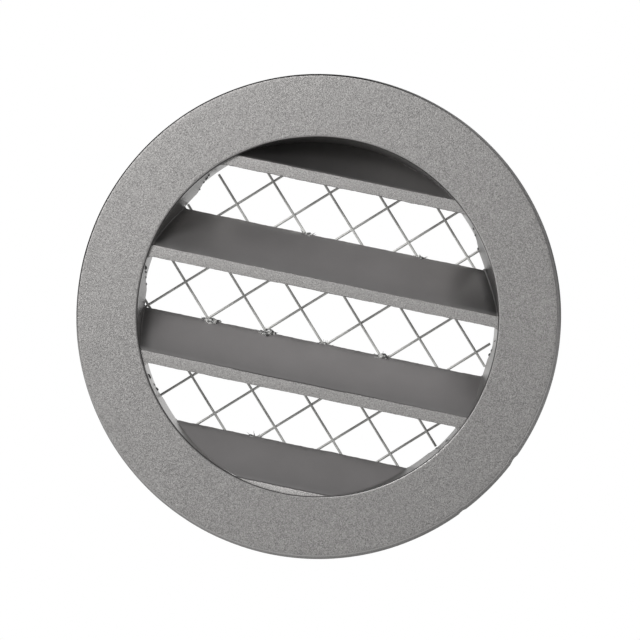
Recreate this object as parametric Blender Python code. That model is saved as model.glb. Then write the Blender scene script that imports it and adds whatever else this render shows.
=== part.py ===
# Round cast aluminium vent grille with rain slats and a glued-in wire mesh.
# The front faces -Y, +Z is up, and the origin lies on the axis in the plane of the wall,
# which is the back of the flange. All sizes are in metres.

import math

import bmesh
import bpy
from mathutils import Matrix, Vector

MM = 0.001

# Flange and spigot
BORE_RADIUS = 58.1 * MM
BORE_DRAFT = math.radians(3.4)
SPIGOT_WALL = 2.4 * MM
SPIGOT_DRAFT = math.radians(1.4)
FLANGE_WIDTH = 18.9 * MM
FLANGE_THICKNESS = 4.0 * MM
FLANGE_SIDE_DRAFT = math.radians(10.0)
REAR_COLLAR = 4.8 * MM

# Fillets of the turned outline
LIP_FILLET = 0.8 * MM
FACE_FILLET = 0.55 * MM
BACK_FILLET = 0.25 * MM
ROOT_FILLET = 0.9 * MM
SPIGOT_END_FILLET = 0.5 * MM

# Slats
SLAT_RECESS = 1.2 * MM
SLAT_DEPTH = 14.0 * MM
SLAT_ANGLE = math.radians(46.4)
SLAT_FRONT_HEIGHT = 4.0 * MM
SLAT_REAR_HEIGHT = 2.9 * MM
SLAT_PITCH = 34.6 * MM
SLAT_LEVEL = 11.8 * MM
SLAT_FILLET = 0.2 * MM

# Wire mesh
WIRE_RADIUS = 0.35 * MM
WELD_SINK = 0.14 * MM
MESH_PITCH = 14.02 * MM
MESH_GAP = 0.6 * MM
SEAT_GAP = 0.3 * MM
FALLING_ANGLE = math.radians(-46.7)
FALLING_OFFSET = -3.9 * MM
RISING_ANGLE = math.radians(43.3)
RISING_OFFSET = 5.1 * MM

# How far each wire strays from its even place, by its number
FALLING_STRAY = [stray * MM for stray in (0.05, 0.2, 0.2, -0.25, -0.15, -0.5, 0.1, 0.15)]
RISING_STRAY = [stray * MM for stray in (0.65, 0.05, 0.25, -0.7, 0.3, 0.0, -0.2, 0.1)]

# Adhesive dabs: index of the slat, from 0 at the top, and of the wire that is held on it
FALLING_DAB_INDEXES = ((1, 1), (1, 3), (2, -2), (2, -1), (2, 0), (2, 1))
RISING_DAB_INDEXES = ((3, -2),)
DAB_LENGTH = 5.6 * MM
DAB_HEIGHT = 3.9 * MM
DAB_COVER = 0.9 * MM
DAB_RISE = 0.2 * MM

# Fineness of the round forms
TURN_STEPS = 96
FILLET_STEPS = 3
WIRE_SIDES = 8
DAB_SIDES = 20
SHARP_ANGLE = math.radians(32)
MERGE_DISTANCE = 0.001 * MM

# Places along the axis that follow from the sizes
front_y = -FLANGE_THICKNESS
slat_front_y = front_y + SLAT_RECESS
slat_rear_y = slat_front_y + SLAT_DEPTH
falling_wire_y = slat_rear_y + SEAT_GAP + WIRE_RADIUS
rising_wire_y = falling_wire_y + 2 * WIRE_RADIUS - WELD_SINK
mesh_back_y = rising_wire_y + WIRE_RADIUS
spigot_end_y = slat_rear_y + REAR_COLLAR

# Radii that follow from the sizes
mesh_radius = BORE_RADIUS - MESH_GAP
bore_front_radius = BORE_RADIUS + (slat_rear_y - front_y) * math.tan(BORE_DRAFT)
bore_end_radius = BORE_RADIUS + REAR_COLLAR * math.tan(BORE_DRAFT)
spigot_end_radius = bore_end_radius + SPIGOT_WALL
spigot_radius = spigot_end_radius + spigot_end_y * math.tan(SPIGOT_DRAFT)
flange_radius = spigot_radius + FLANGE_WIDTH
flange_front_radius = flange_radius - FLANGE_THICKNESS * math.tan(FLANGE_SIDE_DRAFT)
slat_end_radius = (bore_front_radius + spigot_end_radius) / 2
slat_rise = SLAT_DEPTH * math.tan(SLAT_ANGLE)


def clear_scene():
    for item in list(bpy.data.objects):
        bpy.data.objects.remove(item)


def make_material(name, colour, roughness, metallic):
    material = bpy.data.materials.new(name)
    material.use_nodes = True
    shader = material.node_tree.nodes["Principled BSDF"]
    shader.inputs["Base Color"].default_value = (*colour, 1.0)
    shader.inputs["Roughness"].default_value = roughness
    shader.inputs["Metallic"].default_value = metallic
    return material


def add_object(name, bm, material=None, parent=None):
    """Turns a bmesh into a smooth-shaded object with sharp edges kept."""
    mesh = bpy.data.meshes.new(name)
    bmesh.ops.recalc_face_normals(bm, faces=bm.faces)
    bm.to_mesh(mesh)
    bm.free()
    mesh.shade_smooth()
    mesh.set_sharp_from_angle(angle=SHARP_ANGLE)
    item = bpy.data.objects.new(name, mesh)
    bpy.context.scene.collection.objects.link(item)
    item.parent = parent
    if material:
        mesh.materials.append(material)
    return item


def as_cutter(item):
    item.hide_render = True
    item.display_type = "WIRE"
    return item


def add_boolean(item, cutter, operation):
    modifier = item.modifiers.new(cutter.name, "BOOLEAN")
    modifier.operation = operation
    modifier.solver = "EXACT"
    modifier.object = cutter


def rounded(corners):
    """A closed outline through ((a, b), radius) corners, each rounded by an arc of its radius."""
    outline = []
    for index, (point, radius) in enumerate(corners):
        corner = Vector(point)
        if radius == 0:
            outline.append(corner)
            continue
        to_last = (Vector(corners[index - 1][0]) - corner).normalized()
        to_next = (Vector(corners[(index + 1) % len(corners)][0]) - corner).normalized()
        half = to_last.angle(to_next) / 2
        centre = corner + (to_last + to_next).normalized() * radius / math.sin(half)
        reach = radius / math.tan(half)
        first = (corner + to_last * reach - centre).normalized()
        last = (corner + to_next * reach - centre).normalized()
        for step in range(FILLET_STEPS + 1):
            outline.append(centre + radius * first.slerp(last, step / FILLET_STEPS))
    return outline


def add_outline(bm, points):
    """Adds a closed loop of edges through the points."""
    verts = [bm.verts.new(point) for point in points]
    edges = [bm.edges.new((verts[index - 1], vert)) for index, vert in enumerate(verts)]
    return verts, edges


def turned_ring(name, material, parent):
    """The flange, its lip and the spigot, turned about the Y axis."""
    section = rounded([
        ((bore_front_radius, front_y), LIP_FILLET),
        ((flange_front_radius, front_y), FACE_FILLET),
        ((flange_radius, 0.0), BACK_FILLET),
        ((spigot_radius, 0.0), ROOT_FILLET),
        ((spigot_end_radius, spigot_end_y), SPIGOT_END_FILLET),
        ((bore_end_radius, spigot_end_y), SPIGOT_END_FILLET),
        ((BORE_RADIUS, slat_rear_y), 0),
    ])
    bm = bmesh.new()
    verts, edges = add_outline(bm, [(radius, y, 0.0) for radius, y in section])
    bmesh.ops.spin(
        bm, geom=verts + edges, cent=(0, 0, 0), axis=(0, 1, 0),
        angle=math.tau, steps=TURN_STEPS, use_merge=True,
    )
    bmesh.ops.remove_doubles(bm, verts=bm.verts, dist=MERGE_DISTANCE)
    return add_object(name, bm, material, parent)


def slat_tops():
    """Heights of the front top edges of all slats that cross the bore, from the top down."""
    highest = math.ceil((bore_front_radius + SLAT_FRONT_HEIGHT - SLAT_LEVEL) / SLAT_PITCH) - 1
    lowest = math.floor((-bore_front_radius - slat_rise - SLAT_LEVEL) / SLAT_PITCH) + 1
    return [SLAT_LEVEL + count * SLAT_PITCH for count in range(highest, lowest - 1, -1)]


def slat_section(top):
    """Outline of one slat across its length, as (y, z), front edge low and rear edge high."""
    rear_top = top + slat_rise
    return rounded([
        ((slat_front_y, top - SLAT_FRONT_HEIGHT), SLAT_FILLET),
        ((slat_front_y, top), SLAT_FILLET),
        ((slat_rear_y, rear_top), SLAT_FILLET),
        ((slat_rear_y, rear_top - SLAT_REAR_HEIGHT), SLAT_FILLET),
    ])


def add_bar(bm, outline, reach):
    """Extrudes a (y, z) outline along X, as far as reach to either side."""
    verts, _ = add_outline(bm, [(-reach, y, z) for y, z in outline])
    sweep = bmesh.ops.extrude_face_region(bm, geom=[bm.faces.new(verts)])
    moved = [part for part in sweep["geom"] if isinstance(part, bmesh.types.BMVert)]
    bmesh.ops.translate(bm, verts=moved, vec=(2 * reach, 0, 0))


def slat_blanks(tops):
    """All slats as straight bars, longer than the bore, then cut round inside the wall."""
    bm = bmesh.new()
    for top in tops:
        add_bar(bm, slat_section(top), flange_radius)
    blanks = as_cutter(add_object("slat_blanks", bm))
    add_boolean(blanks, slat_trim(), "INTERSECT")
    return blanks


def slat_trim():
    """A disc whose edge lies inside the spigot wall, where the slats end."""
    bm = bmesh.new()
    bmesh.ops.create_cone(
        bm, cap_ends=True, segments=TURN_STEPS, radius1=slat_end_radius, radius2=slat_end_radius,
        depth=4 * (spigot_end_y - front_y), matrix=Matrix.Rotation(math.pi / 2, 4, "X"),
    )
    return as_cutter(add_object("slat_trim", bm))


def wire_offsets(offset, stray):
    """Distances of the wires of one family from the axis, with their numbers."""
    count = math.ceil(mesh_radius / MESH_PITCH) + 1
    for number in range(-count, count + 1):
        distance = offset + number * MESH_PITCH + stray[number % len(stray)]
        if abs(distance) < mesh_radius - 2 * WIRE_RADIUS:
            yield number, distance


def wires(name, angle, offset, stray, y, material=None, parent=None):
    """One family of parallel wires, cut off at the edge of the mesh, as separate rods."""
    bm = bmesh.new()
    for _, distance in wire_offsets(offset, stray):
        length = 2 * math.sqrt(mesh_radius ** 2 - distance ** 2)
        bmesh.ops.create_cone(
            bm, cap_ends=True, segments=WIRE_SIDES, radius1=WIRE_RADIUS, radius2=WIRE_RADIUS,
            depth=length, matrix=Matrix.Translation((0, y, distance)) @ Matrix.Rotation(
                math.pi / 2, 4, "Y"
            ),
        )
    bmesh.ops.rotate(bm, verts=bm.verts, matrix=Matrix.Rotation(-angle, 3, "Y"))
    return add_object(name, bm, material, parent)


def wire_rooms(name, offset, stray, y, angle):
    """Slots round the wires of one family, open towards the slats, that clear the adhesive."""
    room = WIRE_RADIUS + SEAT_GAP
    section = rounded([
        ((slat_rear_y, -room), 0),
        ((y + room, -room), room),
        ((y + room, room), room),
        ((slat_rear_y, room), 0),
    ])
    bm = bmesh.new()
    for _, distance in wire_offsets(offset, stray):
        add_bar(bm, [(point[0], point[1] + distance) for point in section], mesh_radius)
    bmesh.ops.remove_doubles(bm, verts=bm.verts, dist=MERGE_DISTANCE)
    bmesh.ops.rotate(bm, verts=bm.verts, matrix=Matrix.Rotation(-angle, 3, "Y"))
    return as_cutter(add_object(name, bm))


def dab_centres(tops, places, angle, offset, stray):
    """Where the chosen wires of one family pass the rear edges of their slats, inside the mesh."""
    distances = dict(wire_offsets(offset, stray))
    for slat, wire in places:
        if slat >= len(tops) or wire not in distances:
            continue
        z = tops[slat] + slat_rise - SLAT_REAR_HEIGHT / 2 + DAB_RISE
        x = (z * math.cos(angle) - distances[wire]) / math.sin(angle)
        if math.hypot(x, z) < mesh_radius - DAB_LENGTH / 2:
            yield x, z


def glue_dab(name, x, z, cutters, material, parent):
    """A bead of adhesive behind a slat, with slots for the wires that it holds."""
    base_y = slat_rear_y + SEAT_GAP
    back_y = mesh_back_y + SEAT_GAP + DAB_COVER
    section = rounded([
        ((0.0, base_y), 0),
        ((DAB_LENGTH / 2, base_y), 0),
        ((DAB_LENGTH / 2, back_y), DAB_COVER),
        ((0.0, back_y), 0),
    ])
    bm = bmesh.new()
    verts, edges = add_outline(bm, [(radius, y, 0.0) for radius, y in section])
    bmesh.ops.spin(
        bm, geom=verts + edges, cent=(0, 0, 0), axis=(0, 1, 0),
        angle=math.tau, steps=DAB_SIDES, use_merge=True,
    )
    bmesh.ops.remove_doubles(bm, verts=bm.verts, dist=MERGE_DISTANCE)
    bmesh.ops.scale(bm, verts=bm.verts, vec=(1, 1, DAB_HEIGHT / DAB_LENGTH))
    dab = add_object(name, bm, material, parent)
    dab.location = (x, 0, z)
    for cutter in cutters:
        add_boolean(dab, cutter, "DIFFERENCE")
    return dab


def build():
    clear_scene()
    aluminium = make_material("cast_aluminium", (0.34, 0.33, 0.32), 0.55, 0.55)
    steel = make_material("galvanised_wire", (0.30, 0.30, 0.30), 0.45, 0.8)
    adhesive = make_material("adhesive", (0.55, 0.53, 0.48), 0.4, 0.0)

    grille = bpy.data.objects.new("vent_grille", None)
    bpy.context.scene.collection.objects.link(grille)

    tops = slat_tops()
    casting = turned_ring("grille_casting", aluminium, grille)
    add_boolean(casting, slat_blanks(tops), "UNION")

    mesh = wires(
        "wire_mesh", FALLING_ANGLE, FALLING_OFFSET, FALLING_STRAY, falling_wire_y, steel, grille
    )
    rising = wires("rising_wires", RISING_ANGLE, RISING_OFFSET, RISING_STRAY, rising_wire_y)
    add_boolean(mesh, as_cutter(rising), "UNION")

    rooms = (
        wire_rooms("falling_rooms", FALLING_OFFSET, FALLING_STRAY, falling_wire_y, FALLING_ANGLE),
        wire_rooms("rising_rooms", RISING_OFFSET, RISING_STRAY, rising_wire_y, RISING_ANGLE),
    )
    centres = [
        *dab_centres(tops, FALLING_DAB_INDEXES, FALLING_ANGLE, FALLING_OFFSET, FALLING_STRAY),
        *dab_centres(tops, RISING_DAB_INDEXES, RISING_ANGLE, RISING_OFFSET, RISING_STRAY),
    ]
    for count, (x, z) in enumerate(centres, 1):
        glue_dab(f"glue_dab_{count}", x, z, rooms, adhesive, grille)


build()
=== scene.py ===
import math

import bmesh
import bpy
from mathutils import Matrix, Vector, noise


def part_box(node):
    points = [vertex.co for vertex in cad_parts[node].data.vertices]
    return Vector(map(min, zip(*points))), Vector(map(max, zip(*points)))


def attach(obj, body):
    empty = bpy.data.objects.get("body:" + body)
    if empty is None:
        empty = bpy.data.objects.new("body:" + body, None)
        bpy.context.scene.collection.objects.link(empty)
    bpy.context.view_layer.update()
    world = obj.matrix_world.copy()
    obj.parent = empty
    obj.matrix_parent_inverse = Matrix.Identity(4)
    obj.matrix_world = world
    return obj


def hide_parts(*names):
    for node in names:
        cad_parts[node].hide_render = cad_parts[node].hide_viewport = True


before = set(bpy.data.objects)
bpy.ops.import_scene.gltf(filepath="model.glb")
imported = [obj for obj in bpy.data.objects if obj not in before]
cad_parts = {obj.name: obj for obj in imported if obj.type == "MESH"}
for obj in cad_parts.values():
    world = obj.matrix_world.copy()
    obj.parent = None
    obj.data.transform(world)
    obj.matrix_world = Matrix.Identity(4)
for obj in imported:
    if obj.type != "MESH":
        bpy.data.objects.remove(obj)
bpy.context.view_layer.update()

mm = 0.001
tiny = 0.01  # millimetres; also keeps what is under a root above zero
noiseGain = 1.6  # brings Blender's noise to about -1 to 1
settleRounds = 3  # in which a point on the leaning wall of the bore settles
collection = bpy.context.scene.collection

castSharp = 34  # degrees; blunter edges of the casting are shaded smooth

# the casting: flange, lip, spigot and sloping slats, all one piece of aluminium
castingLook = {
    # the lip's outer edge, given one angle at a time: its radius at each angle from +X towards +Z
    "lipEdge": ((0, 60.35), (30, 60.3), (60, 60.05), (90, 59.85), (105, 59.95), (120, 60.25),
                (137, 60.6), (160, 60.75), (180, 60.55), (205, 60.5), (230, 60.35), (255, 60.2),
                (280, 60.2), (305, 60.45), (330, 60.55), (360, 60.35)),
    # in front of the mould's parting line the bore narrows to this circle at the slats' rear edges
    "partingRadius": 57.6, "partingCentre": (-0.55, -0.58),
    # behind the line: radius at the slats' front and at the spigot's end, and the circle's middle
    "rearWall": (58.35, 58.55), "rearCentre": (-0.85, 0.0),
    # the line keeps off the slats' front and rear, and lies this far behind a slat's face
    "partingMargins": (0.4, 0.2), "partingBehind": 1.2,
    "ledgeDepth": 0.12, "ledgeInside": 0.05,  # the small step where the two walls meet
    "spigotEnd": 61.35, "spigotDraft": 1.4, "slatEnd": 60.5,
    "flangeWidth": 18.34, "flangeThickness": 4.0, "sideDraft": 10.0, "rearCollar": 4.8,
    "faceSlip": (-0.35, 0.29),  # how far the two halves of the mould lay apart
    "lipFillet": 0.8, "faceFillet": 0.55, "backFillet": 0.25, "rootFillet": 0.9, "endFillet": 0.4,
    "underLip": 0.15,
    "slatRecess": 1.2, "slatDepth": 14.0, "slatAngle": 46.4, "slatPitch": 34.6,
    "leastHalf": 3,  # no slat is shorter than twice this
    "slatTops": (46.4, 11.8, -22.8, -57.4), "slatFront": 4.0, "slatRear": 2.9, "slatFillet": 0.2,
    "turnSteps": 512, "filletSteps": 5, "slatStations": 210,
    "ringCuts": (7, 6, 5, 5, 4), "slatCuts": 8,  # of face, back, outside, rear wall and bore
    # grain and height of the uneven slat edges and faces; the edges reach this far into the faces
    "edgeWander": ((9.0, 0.09), (2.6, 0.05), (0.9, 0.05)), "slopeWander": ((9.0, 0.02),),
    "edgeReach": 1,
    "faceWander": 0.05, "faceGrain": 13,
    # the rim's unevenness: height, grain, mean and swing, the circle it is read on, its width
    "rimWander": 0.06, "rimGrain": 16, "rimMean": 0.6, "rimSwing": 0.5, "rimPath": 80, "rimBand": 1,
    "rimNotches": ((-24.5, 0.32, 0.9), (-41.7, 0.28, 0.7)),  # angle, depth, half width in degrees
    "upperFillet": 0.35, "lowerFillets": (2.8, 0.9, 0.9, 0.8), "filletArc": 7,
    "filletStations": 22, "filletGap": 0.03, "filletTaper": 0.5,
    "filletRoom": (0.7, 0.3, 0.4),  # least room, least gap, most of the room taken
    "bite": 0.4,  # how far a joined piece sinks into the casting
    # flash is the thin ragged fin left where the two halves of the mould met
    "flashStart": 2.0, "flashDrop": 8.6, "flashWidth": 0.22, "flashHeight": 0.10, "flashStep": 0.3,
    "flashNoise": (0.31, 5.7, 0.2),  # along a fin, from fin to fin, and what is taken off
    "flakeNoise": (0.9, 3.1), "flakeSteep": 1.6, "flakeMean": 0.8, "flakeSwing": 0.25,
    "flashTip": 0.03, "flashSpan": (0.5, 1.2), "pocketSpan": (0.70, 0.35), "pocketGap": 0.3,
    "flakes": {  # slat, side: (share of the line, half length, height)
        (0, -1): ((0.22, 0.05, 0.5), (0.36, 0.09, 0.45), (0.55, 0.05, 0.3), (0.86, 0.04, 0.35)),
        (0, 1): ((0.18, 0.06, 0.3), (0.42, 0.05, 0.35), (0.93, 0.05, 0.5)),
        (1, -1): ((0.16, 0.10, 0.62), (0.34, 0.05, 0.5), (0.55, 0.06, 0.3), (0.82, 0.05, 0.35)),
        (1, 1): ((0.2, 0.05, 0.3), (0.6, 0.08, 0.3), (0.8, 0.07, 0.5)),
        (2, -1): ((0.2, 0.10, 0.55), (0.5, 0.05, 0.3), (0.66, 0.07, 0.55)),
        (2, 1): ((0.3, 0.08, 0.3), (0.7, 0.05, 0.3)),
    },
    "pocketDashes": ((0.12, 0.04, 0.30), (0.22, 0.03, 0.26), (0.36, 0.05, 0.3), (0.47, 0.02, 0.3),
                     (0.55, 0.03, 0.34), (0.63, 0.02, 0.3), (0.8, 0.05, 0.24)),
    "blasted": {"colour": (0.330, 0.322, 0.316), "metallic": 0.45, "roughness": 0.58, "grain": 1.0},
    "plain": {"colour": (0.430, 0.420, 0.420), "metallic": 1.0, "roughness": 0.33, "grain": 0.05},
    "wall": {"colour": (0.500, 0.490, 0.480), "metallic": 0.85, "roughness": 0.36, "grain": 0.35},
    # the edges' lighter colour is partly a painted highlight
    "edge": {"colour": (0.460, 0.450, 0.445), "metallic": 1.0, "roughness": 0.42, "grain": 0.4},
    "stripPaintedLight": 1.12,  # the slats' front strips are painted a little brighter than the flange, as painted light
    # painted shade and painted light: how much each mask darkens or brightens the casting's colour
    "endsShade": 0.5, "creaseShade": 0.25, "pocketShade": (0.33, 0.75),  # its left, its right
    "rimShade": 0.03, "rimHighlightLift": 1.25, "topRightShade": 0.66, "thirdLeftShade": 0.88,
    "besideShade": 0.5, "rearPaintedLight": 1.3, "lowShade": 0.86, "crescentPaintedLight": 1.5,
    "grainSize": 0.26, "speckle": 2.2, "bump": (0.6, 0.0003),
    "clouds": (24.0, 0.07), "patches": (5.0, 0.08),  # size and amount of the stains
    "rimTowards": (-0.707, 0, 0.707), "shadeLean": 0.3,
    # the fins: their look, a near-black colour that is painted shade, and which faces count as fins
    "finColour": (0.07, 0.07, 0.07), "finRoughness": 0.7, "finClouds": (0.8, 0.8),
    "finArea": 0.3, "finProud": (0.04, 0.8), "finStart": 0.3, "finReach": 0.5,
}


def smooth(item, sharpAngle):
    item.data.shade_smooth()
    item.data.set_sharp_from_angle(angle=math.radians(sharpAngle))


def linkedObject(name, bm, sharpAngle=castSharp):
    mesh = bpy.data.meshes.new(name)
    bmesh.ops.recalc_face_normals(bm, faces=bm.faces)
    bm.to_mesh(mesh)
    bm.free()
    item = bpy.data.objects.new(name, mesh)
    smooth(item, sharpAngle)
    collection.objects.link(item)
    return item


def roundedOutline(corners, steps):
    # corners are ((a, b), radius); each gets an arc of its radius
    outline = []
    for index, (point, radius) in enumerate(corners):
        corner = Vector(point)
        if radius == 0:
            outline.append(corner)
            continue
        toLast = (Vector(corners[index - 1][0]) - corner).normalized()
        toNext = (Vector(corners[(index + 1) % len(corners)][0]) - corner).normalized()
        half = toLast.angle(toNext) / 2
        centre = corner + (toLast + toNext).normalized() * radius / math.sin(half)
        reach = radius / math.tan(half)
        first = (corner + toLast * reach - centre).normalized()
        last = (corner + toNext * reach - centre).normalized()
        for step in range(steps + 1):
            outline.append(centre + radius * first.slerp(last, step / steps))
    return outline


def split(first, last, pieces):
    # points between two (a, b) points, as corners without a radius
    (a, b), (endA, endB) = first, last
    return [((a + (endA - a) * k / pieces, b + (endB - b) * k / pieces), 0)
            for k in range(1, pieces)]


def bridgeRows(bm, rows, closed=False, rungs=None):
    # skins rows of points, each row a ring; the ends are flat, or made of rungs from a point on
    rings = [[bm.verts.new(Vector(point) * mm) for point in row] for row in rows]
    pairs = list(zip(rings, rings[1:] + (rings[:1] if closed else [])))
    for row, after in pairs:
        for place in range(len(row)):
            following = (place + 1) % len(row)
            bm.faces.new((row[place], row[following], after[following], after[place]))
    for ring in () if closed else (rings[0], rings[-1]):
        if rungs is None:
            bm.faces.new(ring)
        else:
            pairs = [(ring[rungs - k], ring[rungs + 1 + k]) for k in range(len(ring) // 2)]
            for (low, high), (nextLow, nextHigh) in zip(pairs, pairs[1:]):
                bm.faces.new((low, high, nextHigh, nextLow))


def castingSizes(look):
    s = dict(look)
    s["frontY"] = -s["flangeThickness"]
    s["slatFrontY"] = s["frontY"] + s["slatRecess"]
    s["slatRearY"] = s["slatFrontY"] + s["slatDepth"]
    s["endY"] = s["slatRearY"] + s["rearCollar"]
    s["spigotRadius"] = s["spigotEnd"] + s["endY"] * math.tan(math.radians(s["spigotDraft"]))
    s["flangeRadius"] = s["spigotRadius"] + s["flangeWidth"]
    sideSlope = math.tan(math.radians(s["sideDraft"]))
    s["flangeFront"] = s["flangeRadius"] - s["flangeThickness"] * sideSlope
    s["slatRise"] = s["slatDepth"] * math.tan(math.radians(s["slatAngle"]))
    return s


def lipAt(s, angle):
    # radius of the lip's outer edge, eased between the listed angles
    degrees = math.degrees(angle) % 360
    for (place, radius), (nextPlace, nextRadius) in zip(s["lipEdge"], s["lipEdge"][1:]):
        if degrees <= nextPlace:
            share = (degrees - place) / (nextPlace - place)
            return radius + (nextRadius - radius) * share * share * (3 - 2 * share)


def boreAt(s, y, angle):
    # radius of the bore in front of the parting line
    front = lipAt(s, angle) - s["lipFillet"]
    across, up = s["partingCentre"]
    rear = s["partingRadius"] + across * math.cos(angle) + up * math.sin(angle)
    return front + (rear - front) * (y - s["frontY"]) / (s["slatRearY"] - s["frontY"])


def wallAt(s, y, angle):
    # radius of the bore behind the parting line
    (front, rear), (across, up) = s["rearWall"], s["rearCentre"]
    middle = across * math.cos(angle) + up * math.sin(angle)
    return middle + front + (rear - front) * (y - s["slatFrontY"]) / (s["endY"] - s["slatFrontY"])


def meetBore(s, y, level, side, wallOf):
    # where a height meets the bore's wall: its radius there and the distance from the middle
    radius = s["partingRadius"] + 1
    for _ in range(settleRounds):
        across = math.sqrt(max(tiny, radius ** 2 - level ** 2))
        radius = wallOf(s, y, math.atan2(level, side * across))
    return radius, math.sqrt(max(tiny, radius ** 2 - level ** 2))


def partingDepth(s, level):
    # how deep the parting line lies at a height: along a slat's face, then back to the strip above
    frontMargin, rearMargin = s["partingMargins"]
    low, high = s["slatFrontY"] + frontMargin, s["slatRearY"] - rearMargin
    for top in s["slatTops"]:
        if level >= top + s["slatRise"]:
            line = top + s["slatPitch"] - s["slatFront"] - s["flashStart"]
            depth = s["slatDepth"] * (line - level) / s["flashDrop"]
            return min(high, max(low, s["slatFrontY"] + depth))
        if level >= top:
            depth = s["slatDepth"] * (level - top) / s["slatRise"] + s["partingBehind"]
            return min(high, s["slatFrontY"] + depth)
    return low


def wander(x, y, z, size):
    # smooth noise between about -1 and 1, at a grain of size millimetres
    return noise.noise(Vector((x, y, z)) / size) * noiseGain


def partingAt(s, angle):
    # where the parting line lies at an angle: its radius, the wall's just behind it, and its depth
    parting = s["slatRearY"]
    for _ in range(settleRounds):
        radius = boreAt(s, parting, angle)
        parting = partingDepth(s, radius * math.sin(angle))
    edge = boreAt(s, parting, angle)
    return edge, max(wallAt(s, parting, angle), edge - s["ledgeInside"]), parting


def finishedWall(s, y, angle):
    # radius of the wall as it was cast, in front of the parting line and behind it
    _, ledge, parting = partingAt(s, angle)
    if y < parting:
        return boreAt(s, y, angle)
    return ledge + (wallAt(s, s["endY"], angle) - ledge) * (y - parting) / (s["endY"] - parting)


def ringSection(s, angle):
    # the outline of flange and spigot at one angle
    lip = (lipAt(s, angle) - s["lipFillet"], s["frontY"])
    edgeRadius, ledgeRadius, parting = partingAt(s, angle)
    edge, ledge = (edgeRadius, parting), (ledgeRadius, parting + s["ledgeDepth"])
    face, rim = (s["flangeFront"], s["frontY"]), (s["flangeRadius"], 0.0)
    root, end = (s["spigotRadius"], 0.0), (s["spigotEnd"], s["endY"])
    inside = (wallAt(s, s["endY"], angle), s["endY"])
    underLip = s["frontY"] + s["lipFillet"] + s["underLip"]
    under = (boreAt(s, underLip, angle), underLip)
    onFace, onBack, outside, onWall, inBore = s["ringCuts"]
    return roundedOutline([
        (lip, s["lipFillet"]), *split(lip, face, onFace), (face, s["faceFillet"]),
        (rim, s["backFillet"]), *split(rim, root, onBack),
        (root, s["rootFillet"]), *split(root, end, outside),
        (end, s["endFillet"]), (inside, s["endFillet"]), *split(inside, ledge, onWall),
        (ledge, 0), (edge, 0), *split(edge, under, inBore), (under, 0),
    ], s["filletSteps"])


def turnedRing(s):
    rows = []
    slipAcross, slipUp = s["faceSlip"]
    for step in range(s["turnSteps"]):
        degrees = 360 * step / s["turnSteps"]
        angle = math.radians(degrees)
        across, up = math.cos(angle), math.sin(angle)
        notch = 0
        for place, depth, half in s["rimNotches"]:
            away = (degrees - place + 180) % 360 - 180
            notch += depth * math.exp(-(away / half) ** 4)
        uneven = wander(across * s["rimPath"], 0, up * s["rimPath"], s["rimGrain"])
        slack = s["rimWander"] * max(0, s["rimMean"] + s["rimSwing"] * uneven)
        row = []
        for radius, y in ringSection(s, angle):
            if radius > s["flangeFront"] - s["rimBand"]:
                radius -= notch + slack
                radius += (slipAcross * across + slipUp * up) * min(1, -y / s["flangeThickness"])
            elif y < s["frontY"] + tiny:
                lift = 0.5 + 0.5 * wander(across * radius, 5, up * radius, s["faceGrain"])
                y += s["faceWander"] * max(0, lift)
            row.append((radius * across, y, radius * up))
        rows.append(row)
    bm = bmesh.new()
    bridgeRows(bm, rows, closed=True)
    return linkedObject("castingRing", bm)


def slatBar(bm, s, top):
    # one slat as a bar that ends inside the ring, its edges wandering as cast ones do
    rearTop = top + s["slatRise"]
    frontLow, frontTop = (s["slatFrontY"], top - s["slatFront"]), (s["slatFrontY"], top)
    backTop, backLow = (s["slatRearY"], rearTop), (s["slatRearY"], rearTop - s["slatRear"])
    section = roundedOutline([
        (frontLow, s["slatFillet"]), (frontTop, s["slatFillet"]),
        *split(frontTop, backTop, s["slatCuts"]),
        (backTop, s["slatFillet"]), (backLow, s["slatFillet"]),
        *split(backLow, frontLow, s["slatCuts"]),
    ], s["filletSteps"])
    rows = []
    for station in range(s["slatStations"] + 1):
        share = 2 * station / s["slatStations"] - 1
        row = []
        for y, z in section:
            x = share * math.sqrt(max(s["leastHalf"] ** 2, s["slatEnd"] ** 2 - z ** 2))
            inner = min(y - s["slatFrontY"], s["slatRearY"] - y)
            scales = s["edgeWander"] if inner < s["edgeReach"] else s["slopeWander"]
            row.append((x, y, z + sum(height * wander(x, y, z, size) for size, height in scales)))
        rows.append(row)
    bridgeRows(bm, rows, rungs=s["filletSteps"])


def cornerFillet(bm, s, top, side, up, radiusAt):
    # a concave fillet in the corner between a slat and the bore's wall
    leastRoom, leastGap, mostOfRoom = s["filletRoom"]
    rows = []
    for station in range(s["filletStations"] + 1):
        share = station / s["filletStations"]
        y = s["slatFrontY"] + s["filletGap"] + share * (s["slatDepth"] - 2 * s["filletGap"])
        level = top + share * s["slatRise"]
        if up < 0:
            level += (share - 1) * s["slatFront"] - share * s["slatRear"]
        bore, away = meetBore(s, y, level, side, boreAt if up > 0 else finishedWall)
        room = bore - up * level
        if room < leastRoom or abs(level) > bore - leastGap:
            continue
        radius = min(radiusAt(share), mostOfRoom * room)
        centre = Vector((0, level + up * radius))
        centre.x = side * math.sqrt(max(tiny, (bore - radius) ** 2 - centre.y ** 2))
        onSlat, onBore = Vector((0, -up)), centre.normalized()
        arc = [centre + radius * onSlat.slerp(onBore, step / s["filletArc"])
               for step in range(s["filletArc"] + 1)]
        corner = Vector((side * (away + s["bite"]), level - up * s["bite"]))
        row = [arc[0] + onSlat * s["bite"], *arc, arc[-1] + onBore * s["bite"], corner]
        rows.append([(point.x, y, point.y) for point in row])
    if len(rows) > 1:
        bridgeRows(bm, rows)


def slatFillets(s):
    bm = bmesh.new()
    for top, lower in zip(s["slatTops"], s["lowerFillets"]):
        for side in (-1, 1):
            if top < s["slatTops"][0]:
                cornerFillet(bm, s, top, side, 1, lambda share: s["upperFillet"])
            cornerFillet(bm, s, top, side, -1,
                         lambda share: lower * (1 - s["filletTaper"] * share))
    return linkedObject("slatFillets", bm)


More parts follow.
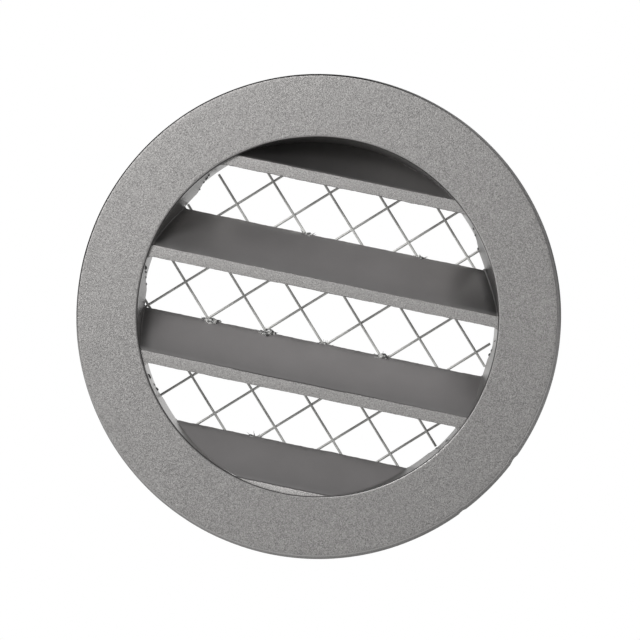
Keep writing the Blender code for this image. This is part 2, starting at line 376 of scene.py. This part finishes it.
def fin(bm, s, line, flakes, seed):
    # a thin ragged fin; line gives a point and the way out of the metal at any share of its length
    length = (line(1)[0] - line(0)[0]).length
    steps = max(4, round(length / s["flashStep"]))
    stepNoise, seedNoise, takenOff = s["flashNoise"]
    flakeStep, flakeSeed = s["flakeNoise"]
    rows = []
    for step in range(steps + 1):
        share = step / steps
        point, out = line(share)
        along = (line(min(1, share + tiny))[0] - line(max(0, share - tiny))[0]).normalized()
        aside = along.cross(out).normalized()
        uneven = wander(step * stepNoise, seed * seedNoise, 0, 1)
        height = s["flashHeight"] * (uneven - takenOff)
        for place, half, tall in flakes:
            bump = max(0, 1 - abs(share - place) / half)
            uneven = wander(step * flakeStep, seed * flakeSeed, 4, 1)
            ragged = s["flakeMean"] + s["flakeSwing"] * uneven
            height = max(height, tall * min(1, s["flakeSteep"] * bump) * ragged)
        rows.append([
            point + aside * s["flashWidth"] - out * s["bite"],
            point - aside * s["flashWidth"] - out * s["bite"],
            point - aside * s["flashTip"] + out * height,
            point + aside * s["flashTip"] + out * height,
        ])
    bridgeRows(bm, rows)


def flashLevel(s, top, y):
    # height of the parting line on a window's wall, at a depth
    return top - s["slatFront"] - s["flashStart"] - (
        y - s["slatFrontY"]) * s["flashDrop"] / s["slatDepth"]


def wallLine(s, top, side):
    # the mould's parting line on the wall of a window: from the strip above down to the next slat
    start, shorter = s["flashSpan"]

    def line(share):
        y = s["slatFrontY"] + start + share * (s["slatDepth"] - shorter)
        z = flashLevel(s, top, y)
        x = side * meetBore(s, y, z, side, boreAt)[1]
        return Vector((x, y, z)), Vector((-x, 0, -z)).normalized()
    return line


def pocketLine(s):
    # where the fillet of the top pocket runs out on the slat's face, on its right
    top = s["slatTops"][0]
    slope = math.radians(s["slatAngle"])
    start, length = s["pocketSpan"]

    def line(share):
        along = start - length * share
        y = s["slatFrontY"] + along * s["slatDepth"]
        level = top + along * s["slatRise"]
        x = meetBore(s, y, level, 1, boreAt)[1] - s["upperFillet"] - s["pocketGap"]
        return Vector((x, y, level)), Vector((0, -math.sin(slope), math.cos(slope)))
    return line


def mouldFlash(s):
    bm = bmesh.new()
    for seed, ((slat, side), flakes) in enumerate(s["flakes"].items()):
        fin(bm, s, wallLine(s, s["slatTops"][slat], side), flakes, seed)
    fin(bm, s, pocketLine(s), s["pocketDashes"], 9)
    return linkedObject("mouldFlash", bm)


def darkenFins(casting, s):
    # small faces that stand out of a wall near its parting line take the second material, painted
    # shade
    least, most = s["finProud"]
    for face in casting.data.polygons:
        x, y, z = face.center / mm
        proud = boreAt(s, y, math.atan2(z, x)) - math.hypot(x, z)
        small = face.area / mm ** 2 < s["finArea"]
        inDepth = s["slatFrontY"] + s["finStart"] < y < s["slatRearY"]
        if small and inDepth and least < proud < most:
            for top in s["slatTops"][:3]:
                if abs(z - flashLevel(s, top, y)) < s["finReach"]:
                    face.material_index = 1


def applyBoolean(item, cutter, operation):
    modifier = item.modifiers.new("join", "BOOLEAN")
    modifier.operation = operation
    modifier.solver = "EXACT"
    modifier.object = cutter
    graph = bpy.context.evaluated_depsgraph_get()
    mesh = bpy.data.meshes.new_from_object(item.evaluated_get(graph))
    item.modifiers.clear()
    item.data = mesh
    bpy.data.objects.remove(cutter)


def makeCasting(look):
    s = castingSizes(look)
    bars = bmesh.new()
    for top in s["slatTops"]:
        slatBar(bars, s, top)
    casting = turnedRing(s)
    for addition in (slatFillets(s), mouldFlash(s), linkedObject("slatBars", bars)):
        applyBoolean(casting, addition, "UNION")
        print("joined:", len(casting.data.polygons), "faces")
    casting.name = "ventCasting"
    smooth(casting, castSharp)
    return casting


# node groups that several materials share; lengths in them are millimetres

def newGroup(name, inputs, outputs):
    group = bpy.data.node_groups.new(name, "ShaderNodeTree")
    for label, kind, value in inputs:
        socket = group.interface.new_socket(name=label, in_out="INPUT", socket_type=kind)
        if value is not None:
            socket.default_value = value
    for label, kind in outputs:
        group.interface.new_socket(name=label, in_out="OUTPUT", socket_type=kind)
    return group, group.nodes.new("NodeGroupInput"), group.nodes.new("NodeGroupOutput")


def addNode(tree, kind, links=(), **settings):
    # links are (input name or number, source socket or plain value)
    node = tree.nodes.new(kind)
    for key, value in settings.items():
        setattr(node, key, value)
    for place, source in links:
        if isinstance(source, bpy.types.NodeSocket):
            tree.links.new(source, node.inputs[place])
        else:
            node.inputs[place].default_value = source
    return node


def mathNode(tree, operation, first, second=None, clamp=False):
    links = [(0, first)] + ([(1, second)] if second is not None else [])
    return addNode(tree, "ShaderNodeMath", links, operation=operation, use_clamp=clamp).outputs[0]


def between(tree, value, low, high, toLow=0.0, toHigh=1.0, kind="LINEAR"):
    return addNode(tree, "ShaderNodeMapRange", [
        ("Value", value), ("From Min", low), ("From Max", high),
        ("To Min", toLow), ("To Max", toHigh),
    ], interpolation_type=kind).outputs[0]


def castGrainGroup():
    # the pimpled skin of blasted metal: its height, and a light and dark speckle round zero
    group, given, out = newGroup("castGrain", [
        ("Position", "NodeSocketVector", None), ("Grain Size", "NodeSocketFloat", 0.4),
        ("Depth", "NodeSocketFloat", 1.0),
    ], [("Height", "NodeSocketFloat"), ("Speckle", "NodeSocketFloat")])
    # a broader, weaker grain joins the fine one; middle is the mean of both together
    broadScale, broadShare, middle = 0.55, 0.4, 0.7
    perSize = mathNode(group, "DIVIDE", 1.0, given.outputs["Grain Size"])
    fine = addNode(group, "ShaderNodeTexNoise", [
        ("Vector", given.outputs["Position"]), ("Scale", perSize), ("Detail", 2.0),
        ("Roughness", 0.6),
    ])
    broad = addNode(group, "ShaderNodeTexNoise", [
        ("Vector", given.outputs["Position"]),
        ("Scale", mathNode(group, "MULTIPLY", perSize, broadScale)), ("Detail", 1.0),
    ])
    both = mathNode(group, "ADD", fine.outputs["Fac"], mathNode(
        group, "MULTIPLY", broad.outputs["Fac"], broadShare))
    height = mathNode(group, "MULTIPLY", both, given.outputs["Depth"])
    speckle = mathNode(group, "MULTIPLY", mathNode(
        group, "SUBTRACT", both, middle), given.outputs["Depth"])
    group.links.new(height, out.inputs["Height"])
    group.links.new(speckle, out.inputs["Speckle"])
    return group


def stainGroup():
    # large soft patches, as on metal that cooled and was handled unevenly
    group, given, out = newGroup("stain", [
        ("Position", "NodeSocketVector", None), ("Patch Size", "NodeSocketFloat", 20.0),
        ("Amount", "NodeSocketFloat", 0.1),
    ], [("Value", "NodeSocketFloat")])
    perSize = mathNode(group, "DIVIDE", 1.0, given.outputs["Patch Size"])
    cloud = addNode(group, "ShaderNodeTexNoise", [
        ("Vector", given.outputs["Position"]), ("Scale", perSize), ("Detail", 3.0),
    ])
    centred = mathNode(group, "SUBTRACT", cloud.outputs["Fac"], 0.5)
    swing = mathNode(group, "MULTIPLY", centred, given.outputs["Amount"])
    value = mathNode(group, "ADD", swing, 1.0)
    group.links.new(value, out.inputs["Value"])
    return group


castGrain = castGrainGroup()
stain = stainGroup()
print("node groups made")


def newMaterial(name):
    material = bpy.data.materials.new(name)
    material.use_nodes = True
    tree = material.node_tree
    shader = tree.nodes["Principled BSDF"]
    metres = addNode(tree, "ShaderNodeTexCoord").outputs["Object"]
    position = addNode(tree, "ShaderNodeVectorMath", [(0, metres), ("Scale", 1 / mm)],
                       operation="SCALE").outputs[0]
    return material, tree, shader, position


def placeGroup(tree, group, **values):
    node = tree.nodes.new("ShaderNodeGroup")
    node.node_tree = group
    for label, value in values.items():
        label = {"GrainSize": "Grain Size", "PatchSize": "Patch Size"}.get(label, label)
        if isinstance(value, bpy.types.NodeSocket):
            tree.links.new(value, node.inputs[label])
        else:
            node.inputs[label].default_value = value
    return node


def tinted(tree, colour, factor):
    # a plain colour brightened or darkened by a varying factor
    return addNode(tree, "ShaderNodeVectorMath", [
        (0, colour), (1, factor),
    ], operation="MULTIPLY").outputs[0]


def bumpNode(tree, shader, height, strength, distance):
    bump = addNode(tree, "ShaderNodeBump", [
        ("Height", height), ("Strength", strength), ("Distance", distance),
    ])
    tree.links.new(bump.outputs["Normal"], shader.inputs["Normal"])


def inwardDistance(tree, s, position):
    # how far a point lies inside the bore's wall, with the bore leaning as the mould did
    x, y, z = addNode(tree, "ShaderNodeSeparateXYZ", [(0, position)]).outputs
    depth = mathNode(tree, "SUBTRACT", y, s["frontY"])
    length = s["slatRearY"] - s["frontY"]
    across, up = s["partingCentre"]
    flat = addNode(tree, "ShaderNodeCombineXYZ", [
        (0, mathNode(tree, "SUBTRACT", x, mathNode(tree, "MULTIPLY", depth, across / length))),
        (2, mathNode(tree, "SUBTRACT", z, mathNode(tree, "MULTIPLY", depth, up / length))),
    ])
    radius = addNode(tree, "ShaderNodeVectorMath", [(0, flat.outputs[0])], operation="LENGTH")
    front = sum(edge for _, edge in s["lipEdge"]) / len(s["lipEdge"]) - s["lipFillet"]
    bore = between(tree, y, s["frontY"], s["slatRearY"], front, s["partingRadius"])
    return mathNode(tree, "SUBTRACT", bore, radius.outputs["Value"]), (x, y, z)


def facingDirections(tree, position):
    # how much the surface faces the bore's middle, and how much it faces the back
    normal = addNode(tree, "ShaderNodeTexCoord").outputs["Normal"]
    flat = addNode(tree, "ShaderNodeVectorMath", [
        (0, position), (1, (-1, 0, -1)),
    ], operation="MULTIPLY")
    inward = addNode(tree, "ShaderNodeVectorMath", [(0, flat.outputs[0])], operation="NORMALIZE")
    dot = addNode(tree, "ShaderNodeVectorMath", [
        (0, normal), (1, inward.outputs[0]),
    ], operation="DOT_PRODUCT").outputs["Value"]
    return dot, addNode(tree, "ShaderNodeSeparateXYZ", [(0, normal)]).outputs[1]


# where each mask of the casting's material starts and where it is whole: in mm, some of them
# counted from a level that castingMaterial names, or cosines of a direction
castingMasks = {
    "wall": (0.78, 0.9), "front": (0.35, 0.05), "outside": (-2.2, -2.5), "ledge": (-0.8, -0.95),
    "nearFront": (1.1, 0.9), "turnedOut": (-0.3, -0.45), "turnedOff": (-0.97, -0.88),
    "strip": (0.1, 0.6), "behind": (0.1, 1.5),
    "creaseFront": (0.1, 0.3), "creaseRear": (0.5, 0.1), "creaseWall": (0.2, 0.5),
    "rimSide": (0.3, 0.75), "rimDepth": (0.1, 0.0), "rimEdge": (-19.3, -19.5),
    "rimLine": (-0.12, -0.25),
    "endsWidth": (4.2, 0.4), "endsHeight": (-12, -4), "endsTop": (0, -6),
    "pocketAcross": (-25, 32), "pocketHeight": (0.1, 0.8), "pocketDepth": (0.5, 1.2),
    "pocketEdge": (-1.5, -1.2),
    "besideFace": (-0.3, 0.3), "besideTop": (1, 0), "besideRight": (10, 30),
    "secondFoot": (-0.5, 0.5), "secondTop": (-5, -6), "topRight": (38, 50),
    "low": (0, -45), "thirdLeft": (-10, -50), "thirdTop": (2, -6), "thirdFoot": (-30, -24),
    "crescentTop": (1, 0.5), "crescentDepth": (0.8, 1.0), "crescentEdge": (-0.2, 0.2),
}


def castingMaterial(look, masks):
    material, tree, shader, position = newMaterial("castAluminium")
    s = castingSizes(look)
    inward, (x, y, z) = inwardDistance(tree, s, position)
    toMiddle, toBack = facingDirections(tree, position)
    highest, secondSlat, _, lowest = s["slatTops"]

    def times(*factors):
        product = factors[0]
        for factor in factors[1:]:
            product = mathNode(tree, "MULTIPLY", product, factor)
        return product

    def ramp(value, mask, level=0.0, kind="LINEAR"):
        start, whole = masks[mask]
        return between(tree, value, level + start, level + whole, kind=kind)

    # where each finish lies: the bore's walls, blasted surfaces, and the smoother edges of lip and
    # rim, whose lighter colour is partly a painted highlight
    wall = ramp(toMiddle, "wall")
    front = ramp(y, "front", s["slatFrontY"], "SMOOTHSTEP")
    outside = ramp(inward, "outside")
    nearFront = ramp(y, "nearFront", s["frontY"])
    turned = times(ramp(toBack, "turnedOut"), ramp(toBack, "turnedOff"))
    ledge = ramp(toBack, "ledge")
    struck = mathNode(tree, "MAXIMUM", mathNode(tree, "MAXIMUM", front, outside), ledge)
    layers = ((wall, "wall"), (struck, "blasted"), (times(nearFront, turned), "edge"))

    def chosen(key):
        value = look["plain"][key]
        for mask, kind in layers:
            value = between(tree, mask, 0.0, 1.0, value, look[kind][key])
        return value

    colour = (*look["plain"]["colour"], 1)
    for mask, kind in layers:
        colour = addNode(tree, "ShaderNodeMix", [
            (0, mask), (6, colour), (7, (*look[kind]["colour"], 1)),
        ], data_type="RGBA").outputs[2]
    # painted light: the slats' front strips are brightened by this factor
    lift = between(tree, inward, *masks["strip"], 1.0, look["stripPaintedLight"])
    grain = placeGroup(tree, castGrain, Position=position, GrainSize=look["grainSize"],
                       Depth=chosen("grain"))
    clouds, patches = (
        placeGroup(tree, stain, Position=position, PatchSize=size, Amount=amount).outputs["Value"]
        for size, amount in (look["clouds"], look["patches"]))
    speckled = mathNode(tree, "ADD", times(grain.outputs["Speckle"], look["speckle"]), 1.0)

    # painted shade in the crease under the lip; up and to the left, a painted highlight on the
    # rim's edge with a painted dark line beside it
    crease = times(ramp(y, "creaseFront", s["frontY"]), ramp(y, "creaseRear", s["slatFrontY"]),
                   ramp(toMiddle, "creaseWall"))
    flat = addNode(tree, "ShaderNodeVectorMath", [
        (0, position), (1, (1, 0, 1)),
    ], operation="MULTIPLY")
    outward = addNode(tree, "ShaderNodeVectorMath", [(0, flat.outputs[0])], operation="NORMALIZE")
    rimSide = addNode(tree, "ShaderNodeVectorMath", [
        (0, outward.outputs[0]), (1, look["rimTowards"]),
    ], operation="DOT_PRODUCT").outputs["Value"]
    paintedRimHighlight = times(ramp(rimSide, "rimSide"), ramp(y, "rimDepth"), ramp(inward, "rimEdge"))
    rimLine = times(paintedRimHighlight, ramp(toMiddle, "rimLine"))

    # painted shade at the slats' ends, and painted shade in the pocket over the top slat, lighter
    # to its right
    behind = ramp(y, "behind", s["slatFrontY"])
    leaning = mathNode(tree, "SUBTRACT", z, mathNode(tree, "MULTIPLY", x, look["shadeLean"]))
    ends = times(ramp(inward, "endsWidth", kind="SMOOTHSTEP"), behind,
                 ramp(leaning, "endsHeight"), ramp(z, "endsTop", highest))
    pocketShade = between(tree, x, *masks["pocketAcross"], *look["pocketShade"])
    pocket = times(ramp(z, "pocketHeight", highest), ramp(y, "pocketDepth", s["frontY"]),
                   ramp(inward, "pocketEdge"))

    # painted shade on the walls just above the slats' faces, on the right
    above = mathNode(tree, "MODULO", mathNode(tree, "SUBTRACT", z, lowest), s["slatPitch"])
    faceHeight = between(tree, y, s["slatFrontY"], s["slatRearY"], 0.0, s["slatRise"])
    overFace = mathNode(tree, "SUBTRACT", above, faceHeight)
    beside = times(wall, ramp(overFace, "besideFace"), ramp(above, "besideTop", s["slatRise"]),
                   ramp(x, "besideRight"))

    # painted shade and light on the slats' faces: the second darker at its right end and lighter to
    # its rear, the third darker to its left, all of them darker further down; and a painted bright
    # crescent on the lowest strip
    second = times(ramp(z, "secondFoot", secondSlat), ramp(z, "secondTop", highest), behind)
    topRight = times(second, ramp(x, "topRight", kind="SMOOTHSTEP"))
    rear = times(second, between(tree, y, 0, s["slatRearY"]))
    low = times(behind, ramp(z, "low"))
    thirdLeft = times(behind, ramp(x, "thirdLeft"), ramp(z, "thirdTop"), ramp(z, "thirdFoot"))
    crescent = times(ramp(z, "crescentTop", lowest), front,
                     ramp(y, "crescentDepth", s["frontY"]), ramp(inward, "crescentEdge"))

    # each mask's painted shade or painted light scales the colour by its factor
    shades = (
        (rimLine, "rimShade"), (paintedRimHighlight, "rimHighlightLift"), (topRight, "topRightShade"),
        (rear, "rearPaintedLight"), (low, "lowShade"), (thirdLeft, "thirdLeftShade"),
        (crescent, "crescentPaintedLight"), (beside, "besideShade"), (crease, "creaseShade"),
        (ends, "endsShade"),
    )
    shade = times(*(between(tree, mask, 0.0, 1.0, 1.0, look[key]) for mask, key in shades),
                  between(tree, pocket, 0.0, 1.0, 1.0, pocketShade))
    factor = times(clouds, patches, speckled, lift, shade)
    tree.links.new(tinted(tree, colour, factor), shader.inputs["Base Color"])
    tree.links.new(times(patches, chosen("roughness")), shader.inputs["Roughness"])
    tree.links.new(chosen("metallic"), shader.inputs["Metallic"])
    bumpNode(tree, shader, grain.outputs["Height"], *look["bump"])
    return material


# the fins' near-black colour is painted shade
def finMaterial(look):
    material, tree, shader, position = newMaterial("finPaintedShade")
    size, amount = look["finClouds"]
    clouds = placeGroup(tree, stain, Position=position, PatchSize=size, Amount=amount)
    colour = tinted(tree, look["finColour"], clouds.outputs["Value"])
    tree.links.new(colour, shader.inputs["Base Color"])
    shader.inputs["Roughness"].default_value = look["finRoughness"]
    return material


casting = makeCasting(castingLook)
casting.data.materials.clear()
casting.data.materials.append(castingMaterial(castingLook, castingMasks))
casting.data.materials.append(finMaterial(castingLook))
darkenFins(casting, castingSizes(castingLook))
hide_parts("grille_casting")
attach(casting, "root")
print("casting made:", len(casting.data.polygons), "faces")

# the wire mesh: straight galvanised wires, welded where they cross
meshLook = {
    "wireRadius": 0.41, "weldSink": 0.14, "pitch": 14.02, "meshRadius": 57.5,
    "fallingY": 11.85, "fallingAngle": -46.7, "fallingOffset": -3.9,
    "fallingStray": (0.05, 0.2, 0.2, -0.25, -0.15, -0.5, 0.1, 0.15),
    "fallingEnds": {-3: (-36.3, 33.9), 0: (-58.0, 57.4), -1: (-54.9, 54.7), 3: (-43.2, 42.6)},
    "risingAngle": 43.3, "risingOffset": 5.1,
    "risingStray": (0.65, 0.05, 0.25, -0.7, 0.3, 0.0, -0.2, 0.1),
    "risingEnds": {2: (-48.1, 46.8), 0: (-58.7, 57.2), -3: (-44.0, 43.4)},
    "offcut": (-19.2, -16.3, -1.5),  # a short end of a last rising wire: start, end, slip
    "wireSides": 16, "stationGap": 1.6, "bow": 0.06, "sharpAngle": 50,
    "colour": (0.62, 0.62, 0.60), "metallic": 0.2, "roughness": 0.55,
    "grain": (0.25, 0.5), "clouds": (6.0, 0.9), "bump": (0.4, 0.0001),
}


def wirePlaces(look, offset, stray):
    count = math.ceil(look["meshRadius"] / look["pitch"]) + 1
    for number in range(-count, count + 1):
        distance = offset + number * look["pitch"] + stray[number % len(stray)]
        if abs(distance) < look["meshRadius"] - 2 * look["wireRadius"]:
            yield number, distance


def addWire(bm, look, start, end, seed):
    # a round wire that bows a little, with cut ends
    line = end - start
    along = line.normalized()
    up = Vector((0, 1, 0))
    across = along.cross(up).normalized()
    stations = max(2, round(line.length / look["stationGap"]))
    rows = []
    for station in range(stations + 1):
        share = station / stations
        bow = math.sin(math.pi * share) * look["bow"]
        centre = start + line * share
        centre += across * wander(seed * 7.3, share * 3, 0, 1) * bow
        rows.append([
            centre + (across * math.cos(turn) + up * math.sin(turn)) * look["wireRadius"]
            for turn in (math.tau * k / look["wireSides"] for k in range(look["wireSides"]))
        ])
    bridgeRows(bm, rows)


def wireFamily(name, look, family, y, seed):
    bm = bmesh.new()
    turn = math.radians(look[family + "Angle"])
    along = Vector((math.cos(turn), 0, math.sin(turn)))
    side = Vector((-math.sin(turn), 0, math.cos(turn)))
    for number, distance in wirePlaces(look, look[family + "Offset"], look[family + "Stray"]):
        half = math.sqrt(look["meshRadius"] ** 2 - distance ** 2)
        start, end = look[family + "Ends"].get(number, (-half, half))
        middle = side * distance + Vector((0, y, 0))
        addWire(bm, look, middle + along * start, middle + along * end, seed + number)
    if family == "rising":
        start, end, slip = look["offcut"]
        middle = side * (look["risingOffset"] + 3 * look["pitch"] + slip) + Vector((0, y, 0))
        addWire(bm, look, middle + along * start, middle + along * end, seed)
    return linkedObject(name, bm, look["sharpAngle"])


def makeMesh(look):
    risingY = look["fallingY"] + 2 * look["wireRadius"] - look["weldSink"]
    falling = wireFamily("galvanisedMesh", look, "falling", look["fallingY"], 11)
    rising = wireFamily("risingWires", look, "rising", risingY, 53)
    applyBoolean(falling, rising, "UNION")
    smooth(falling, look["sharpAngle"])
    return falling


def wireMaterial(look):
    material, tree, shader, position = newMaterial("galvanisedWire")
    (grainSize, depth), (patchSize, amount) = look["grain"], look["clouds"]
    grain = placeGroup(tree, castGrain, Position=position, GrainSize=grainSize, Depth=depth)
    clouds = placeGroup(tree, stain, Position=position, PatchSize=patchSize, Amount=amount)
    factor = mathNode(tree, "MULTIPLY", clouds.outputs["Value"], mathNode(
        tree, "ADD", grain.outputs["Speckle"], 1.0))
    tree.links.new(tinted(tree, look["colour"], factor), shader.inputs["Base Color"])
    rough = mathNode(tree, "MULTIPLY", clouds.outputs["Value"], look["roughness"])
    tree.links.new(rough, shader.inputs["Roughness"])
    shader.inputs["Metallic"].default_value = look["metallic"]
    bumpNode(tree, shader, grain.outputs["Height"], *look["bump"])
    return material


wireMesh = makeMesh(meshLook)
wireMesh.data.materials.clear()
wireMesh.data.materials.append(wireMaterial(meshLook))
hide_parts("wire_mesh")
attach(wireMesh, "root")
print("mesh made:", len(wireMesh.data.polygons), "faces")

# the glue dabs: drops of clear glue with drawn threads, between mesh and slats
dabLook = {
    "clearColour": (0.70, 0.70, 0.68), "dirtyColour": (0.08, 0.08, 0.08), "roughness": 0.25,
    "transmission": 0.3, "clouds": (0.9, 1.0), "dirtyToClear": (0.95, 1.06),
    "swellMean": 0.9, "lumpGrain": 1.1, "lumpStretch": (3, 2, 3), "lumpShift": 9,
    "lumps": 0.35, "swell": 1.2, "spread": 1.3, "overhang": (-0.8, -0.1),
    "lean": 0.5, "thick": 1.3, "sharpAngle": 80,  # thick and lean are shares of the solid's depth
    "threads": 5, "threadLength": 2.6, "threadRadius": 0.2, "threadSteps": 5, "threadSides": 6,
    "threadRoot": (0.5, 0.35), "threadTilt": 0.15, "threadVary": (0.75, 0.35),  # mean and swing
    "threadBend": 0.3, "threadTaper": 0.85,
    "threadTurns": (-15, 62, 47),  # degrees: the first thread's, from one to the next, stray
    "sizes": (0.75, 0.75, 1.0, 1.0, 0.75, 0.9, 0.75),  # of each dab, beside its solid's
}


def makeDab(number, low, high, look):
    centre, half = (low + high) / mm / 2, (high - low) / mm / 2 * look["sizes"][number - 1]
    forward, down = look["overhang"]  # the glue ran over the slat's edge
    stretchX, stretchY, stretchZ = look["lumpStretch"]
    rootX, rootZ = look["threadRoot"]
    mean, swing = look["threadVary"]
    tilt = look["threadTilt"]
    bm = bmesh.new()
    bmesh.ops.create_icosphere(bm, subdivisions=4, radius=1)
    for vert in bm.verts:
        spot = vert.co.copy()
        uneven = wander(spot.x * stretchX + number * look["lumpShift"],
                        spot.y * stretchY, spot.z * stretchZ, look["lumpGrain"])
        swell = look["swellMean"] + look["lumps"] * uneven
        place = spot * min(swell, look["swell"])
        vert.co = Vector((
            centre.x + half.x * look["spread"] * place.x,
            centre.y + forward - half.y * look["lean"] + half.y * look["thick"] * place.y,
            centre.z + down + half.z * place.z,
        )) * mm
    first, apart, stray = look["threadTurns"]
    for thread in range(look["threads"]):
        turn = math.radians(first + apart * thread + stray * wander(
            number * 3.3, thread * 1.7, 0, 1))
        out = Vector((math.cos(turn), -tilt, abs(math.sin(turn)) + tilt)).normalized()
        start = centre + Vector((half.x * rootX * math.cos(turn), 0, half.z * rootZ))
        length = look["threadLength"] * (mean + swing * wander(number, thread * 2.1, 5, 1))
        side = out.cross(Vector((0, 1, 0))).normalized()
        front = out.cross(side)
        rows = []
        for step in range(look["threadSteps"] + 1):
            share = step / look["threadSteps"]
            bend = side * look["threadBend"] * share ** 2 * wander(number * 2.2, thread, 7, 1)
            thick = look["threadRadius"] * (1 - look["threadTaper"] * share)
            middle = start + out * length * share + bend
            rows.append([
                middle + (side * math.cos(a) + front * math.sin(a)) * thick
                for a in (math.tau * k / look["threadSides"] for k in range(look["threadSides"]))
            ])
        bridgeRows(bm, rows)
    return linkedObject(f"glueDab{number}", bm, look["sharpAngle"])


def glueMaterial(look):
    material, tree, shader, position = newMaterial("clearGlue")
    size, amount = look["clouds"]
    clouds = placeGroup(tree, stain, Position=position, PatchSize=size, Amount=amount)
    mixed = addNode(tree, "ShaderNodeMix", [
        (0, between(tree, clouds.outputs["Value"], *look["dirtyToClear"])),
        (6, (*look["dirtyColour"], 1)), (7, (*look["clearColour"], 1)),
    ], data_type="RGBA").outputs[2]
    tree.links.new(mixed, shader.inputs["Base Color"])
    shader.inputs["Roughness"].default_value = look["roughness"]
    shader.inputs["Transmission Weight"].default_value = look["transmission"]
    return material


glue = glueMaterial(dabLook)
for number in range(1, len(dabLook["sizes"]) + 1):
    dab = makeDab(number, *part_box(f"glue_dab_{number}"), dabLook)
    dab.data.materials.append(glue)
    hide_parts(f"glue_dab_{number}")
    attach(dab, "root")
print("glue dabs made")

# floor, light and camera
studio = {
    "floorHeight": -0.16, "floorRadius": 6.0, "floorSides": 96, "fadeFrom": 0.3, "fadeTo": 0.75,
    "floorColour": (0.8, 0.8, 0.8), "floorLift": 0.22,
    "worldLight": 0.2, "roomLight": 0.25,  # what matt and what shiny metal gets from the room
    "backdropMiddle": (0.3, 0.93, -0.2), "backdropFrom": 0.55, "backdropTo": 0.85,
    "keyPlace": (-0.280, -0.305, 0.262), "keySize": 0.2, "keyPower": 2.2,
}


def seenRays(tree):
    # camera, mirror and see-through rays all show the white background
    rays = addNode(tree, "ShaderNodeLightPath")
    camera, glossy, through = (
        rays.outputs[f"Is {kind} Ray"] for kind in ("Camera", "Glossy", "Transmission"))
    return camera, mathNode(tree, "MAXIMUM", glossy, through)


def makeFloor(look):
    bm = bmesh.new()
    bmesh.ops.create_circle(bm, cap_ends=True, segments=look["floorSides"],
                            radius=look["floorRadius"])
    floor = linkedObject("paleFloor", bm)
    floor.location.z = look["floorHeight"]
    material = bpy.data.materials.new("palePaper")
    material.use_nodes = True
    tree = material.node_tree
    tree.nodes.clear()
    position = addNode(tree, "ShaderNodeTexCoord").outputs["Object"]
    distance = addNode(tree, "ShaderNodeVectorMath", [(0, position)], operation="LENGTH")
    fade = between(tree, distance.outputs["Value"], look["fadeFrom"], look["fadeTo"],
                   kind="SMOOTHSTEP")
    seen = mathNode(tree, "MAXIMUM", *seenRays(tree))
    paper = addNode(tree, "ShaderNodeBsdfDiffuse", [("Color", (*look["floorColour"], 1))])
    lift = addNode(tree, "ShaderNodeEmission", [("Color", (1, 1, 1, 1)), ("Strength", mathNode(
        tree, "MULTIPLY", seen, look["floorLift"]))])
    near = addNode(tree, "ShaderNodeAddShader", [(0, paper.outputs[0]), (1, lift.outputs[0])])
    white = addNode(tree, "ShaderNodeEmission", [("Color", (1, 1, 1, 1)), ("Strength", 1.0)])
    mixed = addNode(tree, "ShaderNodeMixShader", [
        (0, mathNode(tree, "MULTIPLY", fade, seen)), (1, near.outputs[0]), (2, white.outputs[0]),
    ])
    addNode(tree, "ShaderNodeOutputMaterial", [("Surface", mixed.outputs[0])])
    floor.data.materials.append(material)


def makeWorld(look):
    world = bpy.data.worlds.new("studioWorld")
    world.use_nodes = True
    bpy.context.scene.world = world
    tree = world.node_tree
    tree.nodes.clear()
    camera, shiny = seenRays(tree)
    direction = addNode(tree, "ShaderNodeTexCoord").outputs["Generated"]
    towards = addNode(tree, "ShaderNodeVectorMath", [
        (0, direction), (1, Vector(look["backdropMiddle"]).normalized()),
    ], operation="DOT_PRODUCT").outputs["Value"]
    backdrop = between(tree, towards, look["backdropFrom"], look["backdropTo"],
                       look["roomLight"], 1.0, kind="SMOOTHSTEP")
    forShiny = mathNode(tree, "MULTIPLY", shiny, backdrop)
    strength = mathNode(tree, "MAXIMUM", mathNode(tree, "MAXIMUM", camera, forShiny), mathNode(
        tree, "MULTIPLY", mathNode(tree, "SUBTRACT", 1.0, shiny), look["worldLight"]))
    background = addNode(tree, "ShaderNodeBackground", [
        ("Color", (1, 1, 1, 1)), ("Strength", strength),
    ])
    addNode(tree, "ShaderNodeOutputWorld", [("Surface", background.outputs[0])])


def addSoftbox(name, place, size, power):
    lamp = bpy.data.lights.new(name, "AREA")
    lamp.shape = "DISK"
    lamp.size = size
    lamp.energy = power
    item = bpy.data.objects.new(name, lamp)
    item.location = place
    item.rotation_mode = "QUATERNION"
    item.rotation_quaternion = Vector(place).to_track_quat("Z", "Y")
    item.visible_camera = False
    collection.objects.link(item)


cameraLook = {
    "distance": 2.5, "toRight": 2.8, "below": 0.6, "roll": 11.75,
    "sensorWidth": 36.0, "pictureWidth": 640,
    "viewWidth": 0.211, "aimRight": 1.55, "aimUp": -3.57,  # aim in pixels from the picture's middle
}


def makeCamera(look):
    camera = bpy.data.objects.new("photoCamera", bpy.data.cameras.new("photoCamera"))
    collection.objects.link(camera)
    camera.data.sensor_width = look["sensorWidth"]
    camera.data.lens = look["sensorWidth"] * look["distance"] / look["viewWidth"]
    right, down = math.radians(look["toRight"]), math.radians(look["below"])
    away = Vector((
        math.sin(right) * math.cos(down), -math.cos(right) * math.cos(down), -math.sin(down),
    ))
    turned = away.to_track_quat("Z", "Y").to_matrix() @ Matrix.Rotation(
        math.radians(look["roll"]), 3, "Z")
    perPixel = look["viewWidth"] / look["pictureWidth"]
    offset = turned @ Vector((look["aimRight"] * perPixel, look["aimUp"] * perPixel, 0))
    camera.matrix_world = Matrix.Translation(away * look["distance"] + offset) @ turned.to_4x4()
    bpy.context.scene.camera = camera


makeFloor(studio)
makeWorld(studio)
addSoftbox("keyLight", studio["keyPlace"], studio["keySize"], studio["keyPower"])
makeCamera(cameraLook)
bpy.context.scene.view_settings.view_transform = "Standard"
print("studio made")
